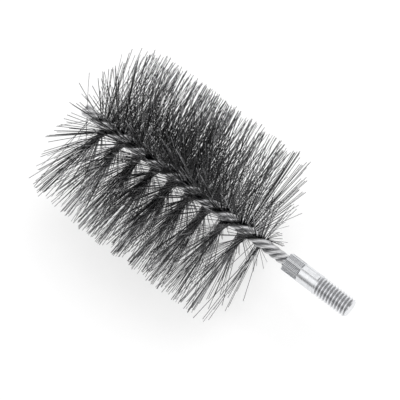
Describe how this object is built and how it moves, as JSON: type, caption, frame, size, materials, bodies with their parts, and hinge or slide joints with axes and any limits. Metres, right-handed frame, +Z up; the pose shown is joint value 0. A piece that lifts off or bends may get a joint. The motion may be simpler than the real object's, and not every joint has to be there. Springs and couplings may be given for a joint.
{
  "type": "chimney sweep brush",
  "caption": "Round steel-bristled chimney brush on a twisted wire stem, with a crimped ferrule whose male thread screws into a sweep's rod.",
  "frame": {"origin": "on the floor under the middle of the brush's length, with the brush lying on its bristles", "axes": "+X along the stem towards the threaded end, +Z up"},
  "size_m": [0.2082, 0.1144, 0.1139],
  "materials": {
    "bristle_steel": "dark bright-drawn spring steel wire",
    "stem_steel": "drawn steel wire, grey",
    "ferrule_zinc": "turned steel, bright zinc plated"
  },
  "bodies": {
    "root": {"bristle_row_01": "bristle_steel", "bristle_row_02": "bristle_steel", "bristle_row_03": "bristle_steel", "bristle_row_04": "bristle_steel", "bristle_row_05": "bristle_steel", "bristle_row_06": "bristle_steel", "bristle_row_07": "bristle_steel", "bristle_row_08": "bristle_steel", "bristle_row_09": "bristle_steel", "bristle_row_10": "bristle_steel", "stem_wire_1": "stem_steel", "stem_wire_2": "stem_steel", "stem_wire_3": "stem_steel", "stem_wire_4": "stem_steel", "ferrule": "ferrule_zinc"}
  },
  "joints": []
}
